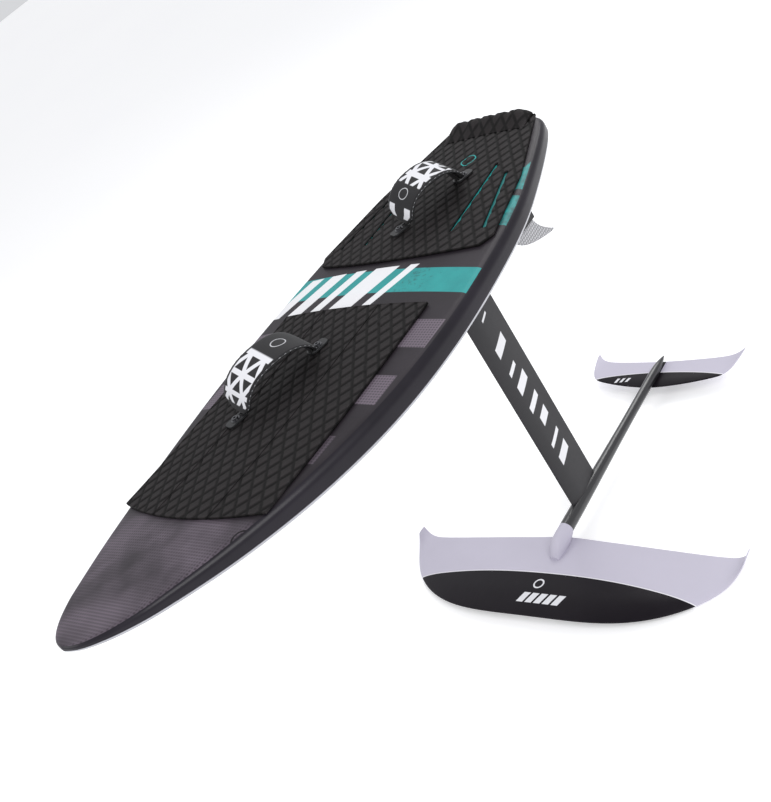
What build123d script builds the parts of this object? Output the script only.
from build123d import *
import math
import os

# Hydrofoil board: a flat-decked board on a mast with a fuselage, a front wing and a rear stabiliser.
# +X points to the nose, +Y to port, +Z up. All sizes are millimetres. The pieces are drawn about the
# mast's mid-chord and the fuselage's axis, and moved at the end so that the origin lies at the middle
# of the underside of the whole craft's box.

# ---------------------------------------------------------------- driving dimensions
# Board
BOARD_LENGTH = 1408.0
BOARD_WIDTH = 516.0
NOSE_AHEAD_OF_MAST = 1086.0
BOARD_THICKNESS = 59.0
DECK_CROWN = 14.0
DECK_LOW_X = 437.0
DECK_NOSE_RISE = 31.0
DECK_TAIL_RISE = 12.0
HULL_FLAT_FRONT = 520.0
HULL_FLAT_REAR = -180.0
NOSE_THICKNESS = 26.0
TAIL_THICKNESS = 39.0
TAIL_CORNER_RADIUS = 38.0
SKIN = 1.2
RAIL_BAND = 8.0
# half outline of the board: share of the length from the tail, share of the half width
OUTLINE = [
    (0.0, 0.475), (0.043, 0.590), (0.140, 0.767), (0.229, 0.892), (0.335, 0.965), (0.463, 1.0),
    (0.584, 0.957), (0.717, 0.820), (0.832, 0.632), (0.903, 0.475), (0.942, 0.372), (0.975, 0.240),
    (0.993, 0.120), (1.0, 0.0),
]

# Deck pads
PAD_THICKNESS = 5.0
PAD_GAP = 3.0
FRONT_PAD_REAR_X = 271.0
FRONT_PAD_FRONT_X = 778.0
FRONT_PAD_BOW = 30.0
FRONT_PAD_HALF_WIDTH = 185.0
FRONT_PAD_CENTRE_HALF_WIDTH = 70.0
TAIL_PAD_FRONT_X = 112.0
TAIL_PAD_FRONT_BOW = 22.0
TAIL_PAD_HALF_WIDTH = 222.0
TAIL_PAD_REAR_HALF_WIDTH = 112.0
TAIL_PAD_REAR_MARGIN = 8.0
PAD_SLOT_WIDTH = 9.0
KICK_LENGTH = 46.0
KICK_HEIGHT = 20.0

# Foot straps: the two anchors of each, on the deck
FRONT_STRAP_ANCHORS = [(575.0, -62.0), (384.0, 0.0)]
REAR_STRAP_ANCHORS = [(42.0, -28.0), (-117.0, 41.0)]
SPARE_INSERTS = [(445.0, 153.0), (347.0, -169.0), (317.0, 109.0)]
STRAP_HEIGHT = 68.0
STRAP_WIDTH = 86.0
STRAP_REST_LEAN = 10.0
STRAP_TOE_LIFT = 3.9
STRAP_SHOULDER_SHARE = 0.42
STRAP_FOOT_WIDTH = 30.0
STRAP_PADDING = 7.0
WEBBING_THICKNESS = 2.4
WEBBING_WIDTH = 44.0
STRAP_HINGE_RADIUS = 4.5
STRAP_CLEARANCE = 0.6
STRAP_LIFT = 3.4
TONGUE_WIDTH = 26.0
TONGUE_THICKNESS = 3.0
TONGUE_OVERHANG = 17.0
TONGUE_SEAT = 0.9
KNUCKLE_SETBACK = 10.5
TONGUE_SLOT = 16.0
INSERT_RADIUS = 7.0
INSERT_DEPTH = 24.0
WELL_RELIEF = 2.0
STRAP_SCREW_RADIUS = 3.0
STRAP_SCREW_LENGTH = 26.0
STRAP_HEAD_RADIUS = 6.0
STRAP_HEAD_HEIGHT = 3.6
STRAP_WASHER_RADIUS = 9.0
STRAP_WASHER_THICKNESS = 1.2

# Foil tracks in the hull
TRACK_LENGTH = 300.0
TRACK_WIDTH = 28.0
TRACK_DEPTH = 28.0
TRACK_SPACING = 90.0
TRACK_MOUTH = 9.0
TRACK_LIP = 6.0
TRACK_CHANNEL_WIDTH = 17.0
TRACK_CHANNEL_DEPTH = 13.0
TRACK_END_WALL = 8.0
BOLT_PITCH_X = 165.0

# Mast and its plate
MAST_HEIGHT = 708.0
MAST_CHORD = 111.4
MAST_THICKNESS = 15.0
PLATE_LENGTH = 190.0
PLATE_WIDTH = 114.0
PLATE_THICKNESS = 8.0
PLATE_GAP = 0.2
PLATE_BOLT_RADIUS = 4.0
PLATE_BOLT_HEAD_RADIUS = 6.5
PLATE_BOLT_HEAD_HEIGHT = 5.0
PLATE_WASHER_RADIUS = 8.5
PLATE_WASHER_THICKNESS = 1.6
NUT_LENGTH = 20.0
NUT_THICKNESS = 7.0
NUT_CLEARANCE = 0.4
MAST_BOLT_RADIUS = 4.0
MAST_BOLT_DEPTH = 34.0
MAST_BOLT_PITCH = 32.0
COUNTERSINK = 3.6

# Fuselage
FUSELAGE_NOSE_X = 106.0
FUSELAGE_TAIL_X = -470.0
FUSELAGE_FRONT_RADIUS = 16.5
FUSELAGE_MID_RADIUS = 15.5
FUSELAGE_REAR_RADIUS = 11.5
TONGUE_RADIUS = 11.0
WING_TONGUE_LENGTH = 52.0
TONGUE_FIT = 0.05

# Front wing
WING_SPAN = 872.0
WING_THICKNESS = 19.0
WING_LEAD_X = 336.0
WING_TRAIL_X = 112.0
WING_Z = -25.0
WING_DROOP = 24.0
WINGLET_RISE = 29.0
WING_SWEEP = 160.0
WING_TIP_SWEEP = 40.0
WING_TRAIL_SWEEP = 12.0
# Stabiliser
STABILISER_SPAN = 412.0
STABILISER_THICKNESS = 9.0
STABILISER_LEAD_X = -368.0
STABILISER_TRAIL_X = -462.0
STABILISER_Z = -15.0
STABILISER_DROOP = 2.0
STABILISER_TIP_RISE = 8.0
STABILISER_SWEEP = 45.0
STABILISER_TIP_SWEEP = 70.0
STABILISER_TRAIL_SWEEP = 14.0
STABILISER_TRAIL_TIP_SWEEP = 22.0
STATIONS_PER_SIDE = 9
SHIM_THICKNESS = 1.0
WING_BOLT_RADIUS = 3.0
WING_BOLT_HEAD_RADIUS = 5.2
WING_BOLT_HEAD_HEIGHT = 5.0
WING_BOLT_XS = [126.0, 148.0]
STABILISER_BOLT_XS = [-392.0, -432.0]
STABILISER_BOLT_RADIUS = 2.5
STABILISER_HEAD_RADIUS = 4.4
STABILISER_HEAD_HEIGHT = 3.0

# Side fins
FIN_X = -8.0
FIN_Y = 205.0
FIN_BASE = 78.0
FIN_DEPTH = 62.0
FIN_RAKE = 62.0
FIN_THICKNESS = 6.0
FIN_TAB_LENGTH = 56.0
FIN_TAB_DEPTH = 14.0
FIN_BOX_WALL = 5.0
FIN_FIT = 0.1
FIN_SCREW_RADIUS = 2.5
FIN_CHEEK = 0.8
FIN_SCREW_LENGTH = 10.0

# ---------------------------------------------------------------- values worked out from those above
NOSE_X = NOSE_AHEAD_OF_MAST
TAIL_X = NOSE_X - BOARD_LENGTH
HALF_WIDTH = BOARD_WIDTH / 2
PLATE_TOP_Z = MAST_HEIGHT + PLATE_THICKNESS
HULL_Z = PLATE_TOP_Z + PLATE_GAP
HULL_NOSE_RISE = BOARD_THICKNESS + DECK_NOSE_RISE - NOSE_THICKNESS
HULL_TAIL_RISE = BOARD_THICKNESS + DECK_TAIL_RISE - TAIL_THICKNESS
RUNOUT = 30.0
MARGIN = 2.0
SIDE_STATION = HALF_WIDTH + MARGIN


# ---------------------------------------------------------------- board surfaces
def hull_height(x):
    """Height of the hull's underside on the centre line."""
    if x > HULL_FLAT_FRONT:
        return HULL_Z + HULL_NOSE_RISE * ((x - HULL_FLAT_FRONT) / (NOSE_X - HULL_FLAT_FRONT)) ** 2
    if x < HULL_FLAT_REAR:
        return HULL_Z + HULL_TAIL_RISE * ((x - HULL_FLAT_REAR) / (TAIL_X - HULL_FLAT_REAR)) ** 2
    return HULL_Z


def deck_height(x, y=0.0):
    """Height of the deck, highest on the centre line."""
    end, rise = (NOSE_X, DECK_NOSE_RISE) if x > DECK_LOW_X else (TAIL_X, DECK_TAIL_RISE)
    centre = HULL_Z + BOARD_THICKNESS + rise * ((x - DECK_LOW_X) / (end - DECK_LOW_X)) ** 2
    return centre - DECK_CROWN * (y / HALF_WIDTH) ** 2


def parabola(start_x, end_x, y, height, offset):
    """Curve of a height that is quadratic in x, exact as a Bezier curve."""
    middle_x = (start_x + end_x) / 2
    start_z, end_z = height(start_x), height(end_x)
    middle_z = 2 * height(middle_x) - (start_z + end_z) / 2
    points = [(start_x, y, start_z + offset), (middle_x, y, middle_z + offset), (end_x, y, end_z + offset)]
    return Bezier(*points)


def deck_curves(y, offset):
    """Deck line from the tail to the nose at one distance from the centre line."""
    def height(x):
        return deck_height(x, y)
    return [
        parabola(TAIL_X - MARGIN, DECK_LOW_X, y, height, offset),
        parabola(DECK_LOW_X, NOSE_X + MARGIN, y, height, offset),
    ]


def hull_curves(y, offset):
    """Hull line from the tail to the nose."""
    flat = Line(
        (HULL_FLAT_REAR, y, HULL_Z + offset),
        (HULL_FLAT_FRONT, y, HULL_Z + offset),
    )
    return [
        parabola(TAIL_X - MARGIN, HULL_FLAT_REAR, y, hull_height, offset),
        flat,
        parabola(HULL_FLAT_FRONT, NOSE_X + MARGIN, y, hull_height, offset),
    ]


def closed_profile(lower, upper):
    """Face between two chains of curves that run from the tail to the nose."""
    rear = Line(lower[0] @ 0, upper[0] @ 0)
    front = Line(lower[-1] @ 1, upper[-1] @ 1)
    return Face(Wire(lower + upper + [rear, front]))


def layer(lower_curves, lower_offset, upper_curves, upper_offset):
    """Solid between two of the board's surfaces, wider and longer than the board."""
    stations = [-SIDE_STATION, 0.0, SIDE_STATION]
    profiles = [
        closed_profile(lower_curves(y, lower_offset), upper_curves(y, upper_offset)) for y in stations
    ]
    return loft(profiles)


def outline_face(inset):
    """Plan outline of the board, pulled in by an inset."""
    side = []
    for share_x, share_y in OUTLINE:
        x = TAIL_X + inset + share_x * (BOARD_LENGTH - 2 * inset)
        side.append((x, share_y * (HALF_WIDTH - inset)))
    port = Spline(*side, tangents=[(0.9, 0.44), (0.0, -1.0)])
    starboard = mirror(port, Plane.XZ)
    tail = Line(side[0], (side[0][0], -side[0][1]))
    face = make_face([port, starboard.edge(), tail])
    corners = face.vertices().filter_by(lambda v: v.X < TAIL_X + RUNOUT)
    return fillet(corners, TAIL_CORNER_RADIUS - inset)


def prism(face, low, high):
    """Upright solid of a plan outline between two heights."""
    return extrude(Pos(0, 0, low) * face, high - low)


def column(inset):
    """Upright solid of the board's outline, taller than the board."""
    return prism(outline_face(inset), HULL_Z - RUNOUT, HULL_Z + BOARD_LENGTH / 4)


# ---------------------------------------------------------------- small helpers
def rod(x, y, low, high, radius):
    """Upright round solid."""
    return Pos(x, y, (low + high) / 2) * Cylinder(radius, high - low)


def ring(x, y, low, high, outer, inner):
    """Upright tube."""
    return rod(x, y, low, high, outer) - rod(x, y, low, high, inner)


def block(x, y, low, high, length, width):
    """Upright rectangular solid."""
    return Pos(x, y, (low + high) / 2) * Box(length, width, high - low)


def screw(x, y, head_seat, head_radius, head_height, shank_radius, shank_end):
    """Cap screw: the head lies beyond its seat, on the side away from the shank's end."""
    away = 1.0 if shank_end < head_seat else -1.0
    head_end = head_seat + away * head_height
    head = rod(x, y, min(head_seat, head_end), max(head_seat, head_end), head_radius)
    socket_start = head_end - away * head_height * 0.6
    low, high = min(socket_start, head_end), max(socket_start, head_end)
    socket = Pos(x, y, low) * extrude(RegularPolygon(head_radius * 0.5, 6), high - low)
    shank = rod(x, y, min(head_seat, shank_end), max(head_seat, shank_end), shank_radius)
    return head + shank - socket


def group(pieces):
    """Several separate solids as one node."""
    return Compound([solid for piece in pieces for solid in piece.solids()])


def anchors():
    """Both anchors of both straps."""
    return FRONT_STRAP_ANCHORS + REAR_STRAP_ANCHORS


def insert_points():
    """Every threaded insert in the deck, used or spare."""
    return anchors() + SPARE_INSERTS


def track_sides():
    """Distance of each foil track from the centre line."""
    return {"port": TRACK_SPACING / 2, "starboard": -TRACK_SPACING / 2}


def plate_bolt_points():
    """Centres of the four bolts that hold the foil."""
    return [(sx * BOLT_PITCH_X / 2, y) for sx in (-1, 1) for y in track_sides().values()]


# ---------------------------------------------------------------- board pieces
def track_block(side_y):
    """Outside shape of one foil track, flush with the hull."""
    return block(0, side_y, HULL_Z, HULL_Z + TRACK_DEPTH, TRACK_LENGTH, TRACK_WIDTH)


def track(side_y):
    """Foil track: a slotted mouth below a wider channel for the nuts."""
    inside = TRACK_LENGTH - 2 * TRACK_END_WALL
    lip_top = HULL_Z + TRACK_LIP
    mouth = block(0, side_y, HULL_Z, lip_top, inside, TRACK_MOUTH)
    channel = block(0, side_y, lip_top, lip_top + TRACK_CHANNEL_DEPTH, inside, TRACK_CHANNEL_WIDTH)
    entry_x = TRACK_LENGTH / 2 - TRACK_END_WALL - NUT_LENGTH / 2 - NUT_CLEARANCE
    entry = block(entry_x, side_y, HULL_Z, lip_top, NUT_LENGTH + 2 * NUT_CLEARANCE, TRACK_CHANNEL_WIDTH)
    return track_block(side_y) - mouth - channel - entry


def fin_box_block(side_y):
    """Outside shape of one fin box."""
    length = FIN_TAB_LENGTH + 2 * FIN_BOX_WALL + 2 * FIN_FIT
    width = FIN_THICKNESS + 2 * (FIN_CHEEK + 2 * FIN_SCREW_RADIUS + FIN_BOX_WALL)
    depth = FIN_TAB_DEPTH + FIN_BOX_WALL
    return block(FIN_X, side_y, HULL_Z, HULL_Z + depth, length, width)


def fin_screw_points(side_y):
    """Places of the two grub screws that press on one fin's tab."""
    inward = -math.copysign(1.0, side_y)
    y = side_y + inward * (FIN_THICKNESS / 2 + FIN_FIT + FIN_CHEEK + FIN_SCREW_RADIUS)
    return [(FIN_X + sx * FIN_TAB_LENGTH / 4, y) for sx in (-1, 1)]


def fin_box(side_y):
    """Socket for one fin, with its grub screw holes."""
    pocket = block(
        FIN_X, side_y, HULL_Z, HULL_Z + FIN_TAB_DEPTH + FIN_FIT,
        FIN_TAB_LENGTH + 2 * FIN_FIT, FIN_THICKNESS + 2 * FIN_FIT,
    )
    body = fin_box_block(side_y) - pocket
    for x, y in fin_screw_points(side_y):
        body -= rod(x, y, HULL_Z, HULL_Z + FIN_SCREW_LENGTH, FIN_SCREW_RADIUS)
    return body


def fin(side_y):
    """Raked side fin with the tab that sits in its box."""
    front_x = FIN_X + FIN_BASE / 2
    rear_x = FIN_X - FIN_BASE / 2
    tip_x = rear_x - FIN_RAKE + FIN_BASE * 0.22
    low = HULL_Z - FIN_DEPTH
    base = Line((front_x, side_y, HULL_Z - FIN_FIT), (rear_x, side_y, HULL_Z - FIN_FIT))
    rear = Spline(
        (rear_x, side_y, HULL_Z - FIN_FIT),
        (rear_x - FIN_RAKE * 0.18, side_y, HULL_Z - FIN_DEPTH * 0.45),
        (tip_x - FIN_BASE * 0.06, side_y, low + FIN_DEPTH * 0.10),
    )
    tip = ThreePointArc(
        rear @ 1,
        (tip_x - FIN_BASE * 0.02, side_y, low + FIN_DEPTH * 0.02),
        (tip_x + FIN_BASE * 0.10, side_y, low),
    )
    front = Spline(
        tip @ 1,
        (front_x - FIN_BASE * 0.55, side_y, HULL_Z - FIN_DEPTH * 0.74),
        (front_x, side_y, HULL_Z - FIN_FIT),
    )
    profile = Face(Wire([base, rear, tip, front]))
    blade = extrude(profile, FIN_THICKNESS / 2, dir=(0, 1, 0), both=True)
    tab = block(
        FIN_X, side_y, HULL_Z - FIN_FIT, HULL_Z + FIN_TAB_DEPTH, FIN_TAB_LENGTH, FIN_THICKNESS,
    )
    return blade + tab


def strap_insert(x, y):
    """Threaded insert, open at the deck, flush with its highest side."""
    top = deck_height(x, y) - SKIN
    return ring(x, y, top - INSERT_DEPTH, top, INSERT_RADIUS, STRAP_SCREW_RADIUS)


def build_shell():
    """Foam core, the rail band round it and the two skins, with room for every box and insert."""
    whole = column(0.0)
    inside = column(RAIL_BAND)
    middle = layer(hull_curves, SKIN, deck_curves, -SKIN)
    deck_sheet = layer(deck_curves, -SKIN, deck_curves, 0.0)
    hull_sheet = layer(hull_curves, 0.0, hull_curves, SKIN)
    hull_boxes = [track_block(side_y) for side_y in track_sides().values()]
    hull_boxes += [fin_box_block(side_y) for side_y in (FIN_Y, -FIN_Y)]
    wells = []
    mouths = []
    for x, y in insert_points():
        top = deck_height(x, y) - SKIN
        wells.append(rod(x, y, top - INSERT_DEPTH - WELL_RELIEF, top + SKIN, INSERT_RADIUS))
        mouths.append(rod(x, y, top - SKIN, top + 3 * SKIN, INSERT_RADIUS))
    return {
        "foam_core": (inside & middle) - (hull_boxes + wells),
        "rail_band": ((whole - inside) & middle) - hull_boxes,
        "deck_skin": (whole & deck_sheet) - mouths,
        "hull_skin": (whole & hull_sheet) - hull_boxes,
    }


def pad_outline(points, bow_from=None, bow=0.0):
    """Pad outline through its corners, with one edge bowed out when asked."""
    edges = []
    for index, start in enumerate(points):
        end = points[(index + 1) % len(points)]
        if index == bow_from:
            middle = ((start[0] + end[0]) / 2 + bow, (start[1] + end[1]) / 2)
            edges.append(ThreePointArc(start, middle, end))
        else:
            edges.append(Line(start, end))
    return Face(Wire(edges))


def pad_holes(sheet):
    """Clear the inserts: a round hole through the pad at each."""
    for x, y in insert_points():
        middle = deck_height(x, y)
        hole = rod(x, y, middle - RUNOUT, middle + RUNOUT, STRAP_SCREW_RADIUS + 2 * SKIN)
        sheet -= hole
    return sheet


def pad_layer():
    """The layer that every pad is cut from."""
    return layer(deck_curves, 0.0, deck_curves, PAD_THICKNESS)


def pad_column(face):
    """Upright solid of a pad's outline, taller than the deck's whole rise."""
    return prism(face, HULL_Z, HULL_Z + BOARD_LENGTH / 4)


def front_pads(sheet):
    """The front pad in three lengthwise pieces with a groove between them."""
    outer = FRONT_PAD_HALF_WIDTH
    edge = FRONT_PAD_CENTRE_HALF_WIDTH
    bow = FRONT_PAD_BOW
    whole = pad_outline([
        (FRONT_PAD_REAR_X, -outer), (FRONT_PAD_FRONT_X, -outer),
        (FRONT_PAD_FRONT_X, outer), (FRONT_PAD_REAR_X, outer),
    ], bow_from=1, bow=bow)
    pad = pad_holes(sheet & pad_column(whole))
    length = FRONT_PAD_FRONT_X - FRONT_PAD_REAR_X + 2 * bow + RUNOUT
    middle_x = (FRONT_PAD_FRONT_X + FRONT_PAD_REAR_X) / 2
    low, high = HULL_Z, HULL_Z + BOARD_LENGTH / 4
    side_width = outer - edge - PAD_GAP
    side_y = edge + PAD_GAP + side_width / 2
    return {
        "front_pad_port": pad & block(middle_x, side_y, low, high, length, side_width),
        "front_pad_centre": pad & block(middle_x, 0, low, high, length, 2 * edge),
        "front_pad_starboard": pad & block(middle_x, -side_y, low, high, length, side_width),
    }


def pad_slots():
    """The four long slots of the tail pad: start and end of each."""
    ends = [((62.0, 113.0), (-147.0, 105.0)), ((58.0, 187.0), (-113.0, 146.0))]
    return ends + [((ax, -ay), (bx, -by)) for (ax, ay), (bx, by) in ends]


def slot_face(start, end, width):
    """Round-ended slot between two points."""
    length = math.hypot(end[0] - start[0], end[1] - start[1])
    angle = math.degrees(math.atan2(end[1] - start[1], end[0] - start[0]))
    middle = Pos((start[0] + end[0]) / 2, (start[1] + end[1]) / 2)
    return middle * Rot(0, 0, angle) * SlotCenterToCenter(length, width)


def tail_pad(sheet):
    """The tail pad, narrowing to the tail, with its slots."""
    rear_x = TAIL_X + TAIL_PAD_REAR_MARGIN
    half = TAIL_PAD_HALF_WIDTH
    waist_x = (TAIL_PAD_FRONT_X + rear_x) / 2
    outline = pad_outline([
        (TAIL_PAD_FRONT_X, -half * 0.93), (TAIL_PAD_FRONT_X, half * 0.93), (TAIL_PAD_FRONT_X - 30, half),
        (waist_x, half * 0.84), (rear_x, TAIL_PAD_REAR_HALF_WIDTH),
        (rear_x, -TAIL_PAD_REAR_HALF_WIDTH), (waist_x, -half * 0.84), (TAIL_PAD_FRONT_X - 30, -half),
    ], bow_from=0, bow=TAIL_PAD_FRONT_BOW)
    pad = sheet & pad_column(outline)
    for start, end in pad_slots():
        pad -= pad_column(slot_face(start, end, PAD_SLOT_WIDTH))
    return pad_holes(pad)


def tail_kick():
    """Raised wedge across the rear of the tail pad."""
    rear_x = TAIL_X + TAIL_PAD_REAR_MARGIN
    front_x = rear_x + KICK_LENGTH
    half = TAIL_PAD_REAR_HALF_WIDTH - PAD_THICKNESS
    stations = [-half, 0.0, half]
    profiles = []
    for y in stations:
        front_z = deck_height(front_x, y) + PAD_THICKNESS
        rear_z = deck_height(rear_x, y) + PAD_THICKNESS
        profiles.append(Face(Wire(Polyline(
            (front_x, y, front_z), (rear_x, y, rear_z),
            (rear_x, y, rear_z + KICK_HEIGHT), (rear_x + KICK_LENGTH * 0.2, y, rear_z + KICK_HEIGHT),
            close=True,
        ).edges())))
    return loft(profiles)


# ---------------------------------------------------------------- foot straps
def pad_top(x, y):
    """Height of the pad's top face."""
    return deck_height(x, y) + PAD_THICKNESS


def strap_frame(ends):
    """Origin, direction and half length of the line through one strap's anchors, on the pad."""
    (ax, ay), (bx, by) = ends
    first = Vector(ax, ay, pad_top(ax, ay) + STRAP_LIFT)
    last = Vector(bx, by, pad_top(bx, by) + STRAP_LIFT)
    along = first - last
    return (first + last) * 0.5, along.normalized(), along.length / 2


def strap_location(ends):
    """Frame of one strap: x along the anchor line, z up but for the lean it is worn at."""
    origin, along, _ = strap_frame(ends)
    lateral = Vector(0, 0, 1).cross(along)
    upright = Plane(origin=origin, x_dir=along, z_dir=along.cross(lateral)).location
    return upright * Rot(-STRAP_REST_LEAN, 0, 0)


def arch_face(half_span, height):
    """Half-elliptic outline that stands on the anchor line."""
    curve = Spline(
        (-half_span, 0, 0), (-half_span * 0.93, 0, height * 0.42), (-half_span * 0.62, 0, height * 0.84),
        (0, 0, height), (half_span * 0.62, 0, height * 0.84), (half_span * 0.93, 0, height * 0.42),
        (half_span, 0, 0), tangents=[(0, 0, 1), (0, 0, -1)],
    )
    return Face(Wire([curve, Line(curve @ 1, curve @ 0)]))


def arch_solid(half_span, height, width):
    """Arch outline with a width across it."""
    return extrude(arch_face(half_span, height), width / 2, dir=(0, 1, 0), both=True)


def strap_waist(half_span):
    """Side shape of a strap: pointed at its feet, full width from part of the way up."""
    toe = STRAP_HINGE_RADIUS + 2 * STRAP_CLEARANCE
    foot = STRAP_FOOT_WIDTH / 2
    full = STRAP_WIDTH / 2
    shoulder = STRAP_HEIGHT * STRAP_SHOULDER_SHARE
    right = [(toe, STRAP_TOE_LIFT), (foot, foot * 0.6), (full, shoulder), (full, STRAP_HEIGHT + 1)]
    points = [(0, y, z) for y, z in right] + [(0, -y, z) for y, z in reversed(right)]
    side = Polyline(*points, close=True)
    return extrude(Face(Wire(side.edges())), half_span + 1, dir=(1, 0, 0), both=True)


def hinge_relief(half_span):
    """Round clearance about the line that a strap leans on."""
    radius = STRAP_HINGE_RADIUS + STRAP_CLEARANCE
    return Rot(0, 90, 0) * Cylinder(radius, 2 * half_span + 2)


def build_strap(name, ends):
    """One foot strap: its cover and webbing, and its tongues, washers and screws."""
    _, _, half_length = strap_frame(ends)
    half_span = half_length - KNUCKLE_SETBACK
    place = strap_location(ends)
    waist = strap_waist(half_span)
    relief = hinge_relief(half_span)
    outer = arch_solid(half_span, STRAP_HEIGHT, STRAP_WIDTH)
    inner = arch_solid(half_span - STRAP_PADDING, STRAP_HEIGHT - STRAP_PADDING, STRAP_WIDTH + 2)
    bare = arch_solid(
        half_span - STRAP_PADDING - WEBBING_THICKNESS,
        STRAP_HEIGHT - STRAP_PADDING - WEBBING_THICKNESS, STRAP_WIDTH + 4,
    )
    webbing_width = arch_solid(half_span, STRAP_HEIGHT, WEBBING_WIDTH)
    cover = ((outer - inner) & waist) - relief
    webbing = (((inner & webbing_width) - bare) & waist) - relief
    hinge = Rot(0, 90, 0) * Cylinder(STRAP_HINGE_RADIUS, STRAP_PADDING + WEBBING_THICKNESS)
    knuckles = []
    for side in (-1, 1):
        shift = side * (half_span - (STRAP_PADDING + WEBBING_THICKNESS) / 2)
        knuckles.append(place * (Pos(shift, 0, 0) * hinge))
    tongues = []
    screws = []
    washers = []
    origin, along, _ = strap_frame(ends)
    for index, (x, y) in enumerate(ends):
        floor = pad_top(x, y) + TONGUE_SEAT
        top = floor + TONGUE_THICKNESS
        direction = math.degrees(math.atan2(along.Y, along.X))
        inward = -1 if index == 0 else 1
        length = 2 * TONGUE_OVERHANG + TONGUE_OVERHANG / 2
        flat = Pos(x, y) * Rot(0, 0, direction) * Pos(inward * TONGUE_OVERHANG * 0.1, 0)
        plate = prism(flat * RectangleRounded(length, TONGUE_WIDTH, TONGUE_WIDTH * 0.3), floor, top)
        slot = Pos(x, y) * Rot(0, 0, direction) * SlotOverall(TONGUE_SLOT, 2 * STRAP_SCREW_RADIUS + 0.6)
        plate -= prism(slot, floor - 1, top + 1)
        knuckle = knuckles[1 - index]
        tongue = (plate + knuckle) - rod(x, y, floor - RUNOUT, floor, RUNOUT * 2)
        tongue -= prism(slot, floor - 1, top + RUNOUT)
        tongues.append(tongue)
        washer_top = top + STRAP_WASHER_THICKNESS
        washers.append(ring(x, y, top, washer_top, STRAP_WASHER_RADIUS, STRAP_SCREW_RADIUS + 0.3))
        screws.append(screw(
            x, y, washer_top, STRAP_HEAD_RADIUS, STRAP_HEAD_HEIGHT,
            STRAP_SCREW_RADIUS, washer_top - STRAP_SCREW_LENGTH,
        ))
    return {
        name + "_strap_cover": place * cover,
        name + "_strap_webbing": place * webbing,
        name + "_strap_tongues": group(tongues),
        name + "_strap_washers": group(washers),
        name + "_strap_screws": group(screws),
    }


# ---------------------------------------------------------------- foil pieces
def wing_station(share):
    """Height, leading edge, trailing edge and thickness of the front wing at a share of its half span."""
    height = WING_Z - WING_DROOP * share ** 2 + WINGLET_RISE * share ** 40
    lead = WING_LEAD_X - WING_SWEEP * share ** 3.6 - WING_TIP_SWEEP * share ** 24
    trail = WING_TRAIL_X + WING_TRAIL_SWEEP * math.sin(math.pi * share / 1.6) - WING_TRAIL_SWEEP * share ** 16
    thickness = WING_THICKNESS * (1 - 0.55 * share ** 2 - 0.28 * share ** 12)
    return height, lead, trail, thickness


def stabiliser_station(share):
    """The same four values for the stabiliser."""
    height = STABILISER_Z - STABILISER_DROOP * share ** 2 + STABILISER_TIP_RISE * share ** 16
    lead = STABILISER_LEAD_X - STABILISER_SWEEP * share ** 1.7 - STABILISER_TIP_SWEEP * share ** 20
    trail_tip = STABILISER_TRAIL_TIP_SWEEP * share ** 12
    trail = STABILISER_TRAIL_X - STABILISER_TRAIL_SWEEP * share ** 1.8 - trail_tip
    thickness = STABILISER_THICKNESS * (1 - 0.5 * share ** 2 - 0.2 * share ** 12)
    return height, lead, trail, thickness


def foil_outline(y, z, lead, trail, thickness):
    """Closed section of a wing: rounded in front, thin behind."""
    chord = lead - trail
    upper = [(0.0, 0.05), (0.30, 0.34), (0.62, 0.52), (0.88, 0.40)]
    lower = [(0.88, -0.34), (0.62, -0.40), (0.30, -0.22), (0.0, -0.05)]
    points = [(trail + chord * a, y, z + thickness * b) for a, b in upper]
    points.append((lead, y, z))
    points += [(trail + chord * a, y, z + thickness * b) for a, b in lower]
    skin = Spline(*points)
    return Face(Wire([skin, Line(skin @ 1, skin @ 0)]))


def wing_solid(station, span):
    """Wing lofted from one tip to the other, with closer stations towards the tips."""
    sections = []
    for index in range(-STATIONS_PER_SIDE, STATIONS_PER_SIDE + 1):
        share = math.sin(math.pi / 2 * index / STATIONS_PER_SIDE)
        sections.append(foil_outline(share * span / 2, *station(abs(share))))
    return loft(sections)


def wing_socket():
    """Blister on the front wing that takes the fuselage's tongue."""
    radius = FUSELAGE_FRONT_RADIUS
    sections = [
        (FUSELAGE_NOSE_X, 0.0, radius, radius),
        (FUSELAGE_NOSE_X + 0.25 * WING_TONGUE_LENGTH, -4.0, radius, radius + 5),
        (FUSELAGE_NOSE_X + WING_TONGUE_LENGTH, -8.0, radius, radius + 5),
        (FUSELAGE_NOSE_X + 1.5 * WING_TONGUE_LENGTH, -19.0, radius * 0.6, radius * 0.6),
    ]
    faces = []
    for x, z, half_y, half_z in sections:
        plane = Plane(origin=(x, 0, z), x_dir=(0, 1, 0), z_dir=(1, 0, 0))
        faces.append(plane * Ellipse(half_y, half_z))
    return loft(faces)


def tongue(clearance):
    """Round tongue of the fuselage, or the bore for it."""
    length = WING_TONGUE_LENGTH + clearance
    middle = FUSELAGE_NOSE_X + length / 2
    return Pos(middle, 0, 0) * (Rot(0, 90, 0) * Cylinder(TONGUE_RADIUS + clearance, length))


def wing_bolt_seat():
    """Height of the seats of the front wing's bolt heads."""
    return WING_Z + 1.5


def front_wing():
    """Front wing with its socket, bored for the tongue and its bolts."""
    wing = wing_solid(wing_station, WING_SPAN) + wing_socket()
    wing -= tongue(TONGUE_FIT)
    seat = wing_bolt_seat()
    for x in WING_BOLT_XS:
        wing -= rod(x, 0, seat - RUNOUT, TONGUE_RADIUS / 2, WING_BOLT_RADIUS)
        wing -= rod(x, 0, seat - RUNOUT, seat, WING_BOLT_HEAD_RADIUS)
    return wing


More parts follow.
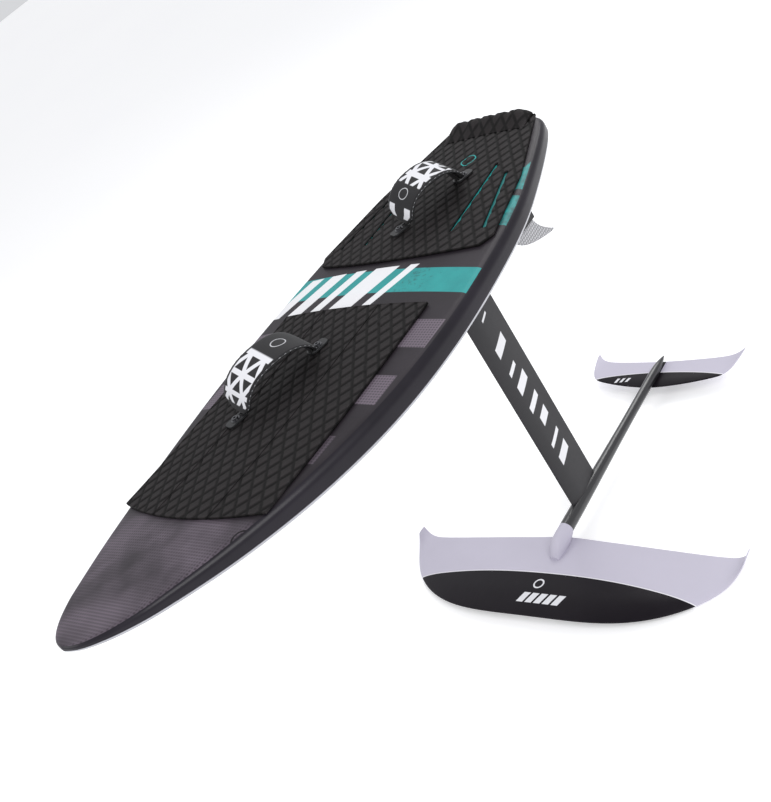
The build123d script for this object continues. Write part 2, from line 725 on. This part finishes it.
def front_wing_bolts():
    """Cap screws from under the wing into the fuselage's tongue."""
    return group([
        screw(
            x, 0, wing_bolt_seat(), WING_BOLT_HEAD_RADIUS, WING_BOLT_HEAD_HEIGHT,
            WING_BOLT_RADIUS, TONGUE_RADIUS / 2,
        ) for x in WING_BOLT_XS
    ])


def stabiliser_top():
    """Highest line of the stabiliser's centre section."""
    return STABILISER_Z + 0.52 * STABILISER_THICKNESS


def fuselage_body():
    """Turned body of the fuselage, from its pointed tail to its shoulder."""
    profile = [
        (FUSELAGE_NOSE_X, FUSELAGE_FRONT_RADIUS),
        (0.0, FUSELAGE_MID_RADIUS),
        (FUSELAGE_TAIL_X * 0.42, FUSELAGE_REAR_RADIUS + 0.8),
        (FUSELAGE_TAIL_X * 0.80, FUSELAGE_REAR_RADIUS),
        (FUSELAGE_TAIL_X * 0.93, FUSELAGE_REAR_RADIUS * 0.72),
        (FUSELAGE_TAIL_X, 0.0),
    ]
    side = Spline(*[(x, 0, radius) for x, radius in profile])
    axis = Line((FUSELAGE_TAIL_X, 0, 0), (FUSELAGE_NOSE_X, 0, 0))
    end = Line((FUSELAGE_NOSE_X, 0, 0), (FUSELAGE_NOSE_X, 0, FUSELAGE_FRONT_RADIUS))
    return revolve(Face(Wire([side, axis, end])), Axis.X, 360)


def shim_block(low, high):
    """Footprint of the stabiliser's seat on the fuselage."""
    rear, front = STABILISER_TRAIL_X, STABILISER_LEAD_X
    return block((rear + front) / 2, 0, low, high, (front - rear) * 0.86, FUSELAGE_REAR_RADIUS * 1.3)


def mast_bolt_xs():
    """Places of the three bolts that run from the fuselage into the mast."""
    return [-MAST_BOLT_PITCH, 0.0, MAST_BOLT_PITCH]


def mast_bolt_seat():
    """Height of the seats of the mast bolts' heads, under the fuselage."""
    return -FUSELAGE_MID_RADIUS + PLATE_BOLT_HEAD_HEIGHT + 1.5


def fuselage():
    """Fuselage with its tongue, its flat for the stabiliser and its bolt holes."""
    flat_z = stabiliser_top() + SHIM_THICKNESS
    body = fuselage_body() + tongue(0.0)
    body -= block(FUSELAGE_TAIL_X * 0.9, 0, flat_z - RUNOUT, flat_z, -FUSELAGE_TAIL_X * 0.25, RUNOUT * 2)
    for x in mast_bolt_xs():
        body -= rod(x, 0, -RUNOUT, RUNOUT, MAST_BOLT_RADIUS)
        body -= rod(x, 0, -RUNOUT, mast_bolt_seat(), PLATE_BOLT_HEAD_RADIUS)
    for x in STABILISER_BOLT_XS:
        body -= rod(x, 0, flat_z - 1, FUSELAGE_REAR_RADIUS * 0.5, STABILISER_BOLT_RADIUS)
    for x in WING_BOLT_XS:
        body -= rod(x, 0, -RUNOUT, TONGUE_RADIUS / 2, WING_BOLT_RADIUS)
    return body


def mast_section():
    """Mast section, blunt in front and thin behind."""
    half = MAST_CHORD / 2
    shape = [(-1.0, 0.07), (-0.45, 0.33), (0.15, 0.50), (0.72, 0.36)]
    points = [(half * a, MAST_THICKNESS * b) for a, b in shape]
    points.append((half, 0.0))
    points += [(half * a, -MAST_THICKNESS * b) for a, b in reversed(shape)]
    skin = Spline(*points)
    return make_face([skin, Line(skin @ 1, skin @ 0)])


def mast():
    """Mast from the fuselage to its plate, threaded at both ends."""
    body = prism(mast_section(), 0, MAST_HEIGHT) - fuselage_body()
    for x in mast_bolt_xs():
        body -= rod(x, 0, 0, MAST_BOLT_DEPTH, MAST_BOLT_RADIUS)
        body -= rod(x, 0, MAST_HEIGHT - MAST_BOLT_DEPTH, MAST_HEIGHT, MAST_BOLT_RADIUS)
    return body


def plate_bolt_seat():
    """Height of the seats of the four bolts under the plate."""
    return MAST_HEIGHT


def mast_plate():
    """Plate between the mast and the hull, with its four bolt holes."""
    plate = prism(RectangleRounded(PLATE_LENGTH, PLATE_WIDTH, 12), MAST_HEIGHT, PLATE_TOP_Z)
    for x, y in plate_bolt_points():
        plate -= rod(x, y, MAST_HEIGHT, PLATE_TOP_Z, PLATE_BOLT_RADIUS)
    for x in mast_bolt_xs():
        plate -= rod(x, 0, MAST_HEIGHT, PLATE_TOP_Z, MAST_BOLT_RADIUS)
        plate -= rod(x, 0, PLATE_TOP_Z - PLATE_BOLT_HEAD_HEIGHT, PLATE_TOP_Z, PLATE_BOLT_HEAD_RADIUS)
    return plate


def foil_fasteners():
    """Every bolt, washer and nut that holds the foil together and to the board."""
    seat = plate_bolt_seat() - PLATE_WASHER_THICKNESS
    nut_low = HULL_Z + TRACK_LIP + NUT_CLEARANCE
    nut_high = nut_low + NUT_THICKNESS
    washers = []
    bolts = []
    nuts = []
    for x, y in plate_bolt_points():
        washers.append(ring(x, y, seat, plate_bolt_seat(), PLATE_WASHER_RADIUS, PLATE_BOLT_RADIUS))
        bolts.append(screw(
            x, y, seat, PLATE_BOLT_HEAD_RADIUS, PLATE_BOLT_HEAD_HEIGHT, PLATE_BOLT_RADIUS, nut_high,
        ))
        width = TRACK_CHANNEL_WIDTH - 2 * NUT_CLEARANCE
        nuts.append(block(x, y, nut_low, nut_high, NUT_LENGTH, width) - rod(
            x, y, nut_low, nut_high, PLATE_BOLT_RADIUS,
        ))
    head_seat = PLATE_TOP_Z - PLATE_BOLT_HEAD_HEIGHT
    heads = [screw(
        x, 0, head_seat, PLATE_BOLT_HEAD_RADIUS, PLATE_BOLT_HEAD_HEIGHT,
        MAST_BOLT_RADIUS, MAST_HEIGHT - MAST_BOLT_DEPTH,
    ) for x in mast_bolt_xs()]
    feet = [screw(
        x, 0, mast_bolt_seat(), PLATE_BOLT_HEAD_RADIUS, PLATE_BOLT_HEAD_HEIGHT,
        MAST_BOLT_RADIUS, MAST_BOLT_DEPTH,
    ) for x in mast_bolt_xs()]
    return {
        "plate_washers": group(washers),
        "plate_bolts": group(bolts),
        "track_nuts": group(nuts),
        "mast_head_bolts": group(heads),
        "mast_foot_bolts": group(feet),
    }


def stabiliser():
    """Rear stabiliser with its flat seat and bolt holes."""
    body = wing_solid(stabiliser_station, STABILISER_SPAN)
    body += shim_block(STABILISER_Z, stabiliser_top())
    body -= shim_block(stabiliser_top(), stabiliser_top() + RUNOUT)
    seat = stabiliser_seat()
    for x in STABILISER_BOLT_XS:
        body -= rod(x, 0, seat - RUNOUT, stabiliser_top(), STABILISER_BOLT_RADIUS)
        body -= rod(x, 0, seat - RUNOUT, seat, STABILISER_HEAD_RADIUS)
    return body


def stabiliser_seat():
    """Height of the seats of the stabiliser's bolt heads."""
    return STABILISER_Z - 0.5


def stabiliser_shim():
    """Thin shim that sets the stabiliser's angle."""
    shim = shim_block(stabiliser_top(), stabiliser_top() + SHIM_THICKNESS)
    for x in STABILISER_BOLT_XS:
        shim -= rod(x, 0, stabiliser_top() - 1, stabiliser_top() + SHIM_THICKNESS + 1, STABILISER_BOLT_RADIUS)
    return shim


def stabiliser_bolts():
    """Screws from under the stabiliser into the fuselage."""
    return group([
        screw(
            x, 0, stabiliser_seat(), STABILISER_HEAD_RADIUS, STABILISER_HEAD_HEIGHT,
            STABILISER_BOLT_RADIUS, FUSELAGE_REAR_RADIUS * 0.5,
        ) for x in STABILISER_BOLT_XS
    ])


# ---------------------------------------------------------------- the whole craft
def build():
    """Every node of the craft, by name."""
    nodes = build_shell()
    sheet = pad_layer()
    nodes.update(front_pads(sheet))
    nodes["tail_pad"] = tail_pad(sheet)
    nodes["tail_kick"] = tail_kick()
    nodes["strap_inserts"] = group([strap_insert(x, y) for x, y in insert_points()])
    nodes.update(build_strap("front", FRONT_STRAP_ANCHORS))
    nodes.update(build_strap("rear", REAR_STRAP_ANCHORS))
    for side, side_y in track_sides().items():
        nodes["track_" + side] = track(side_y)
    for side, side_y in (("port", FIN_Y), ("starboard", -FIN_Y)):
        nodes["fin_box_" + side] = fin_box(side_y)
        nodes["fin_" + side] = fin(side_y)
    nodes["fin_screws"] = group([
        rod(x, y, HULL_Z, HULL_Z + FIN_SCREW_LENGTH, FIN_SCREW_RADIUS)
        for side_y in (FIN_Y, -FIN_Y) for x, y in fin_screw_points(side_y)
    ])
    nodes["mast_plate"] = mast_plate()
    nodes["mast"] = mast()
    nodes.update(foil_fasteners())
    nodes["fuselage"] = fuselage()
    nodes["front_wing"] = front_wing()
    nodes["front_wing_bolts"] = front_wing_bolts()
    nodes["stabiliser"] = stabiliser()
    nodes["stabiliser_shim"] = stabiliser_shim()
    nodes["stabiliser_bolts"] = stabiliser_bolts()
    return nodes


def base_offset(nodes):
    """Move that puts the origin at the middle of the underside of the craft's box."""
    boxes = [node.bounding_box() for node in nodes.values()]
    low = [min(box.min.X for box in boxes), min(box.min.Z for box in boxes)]
    high_x = max(box.max.X for box in boxes)
    return Vector(-(low[0] + high_x) / 2, 0, -low[1])


def main():
    """Write one file for each node."""
    os.makedirs("parts", exist_ok=True)
    nodes = build()
    offset = base_offset(nodes)
    for name, node in nodes.items():
        export_step(Pos(*offset) * node, f"parts/{name}.step")
    print("origin offset", offset.X, offset.Z)


main()
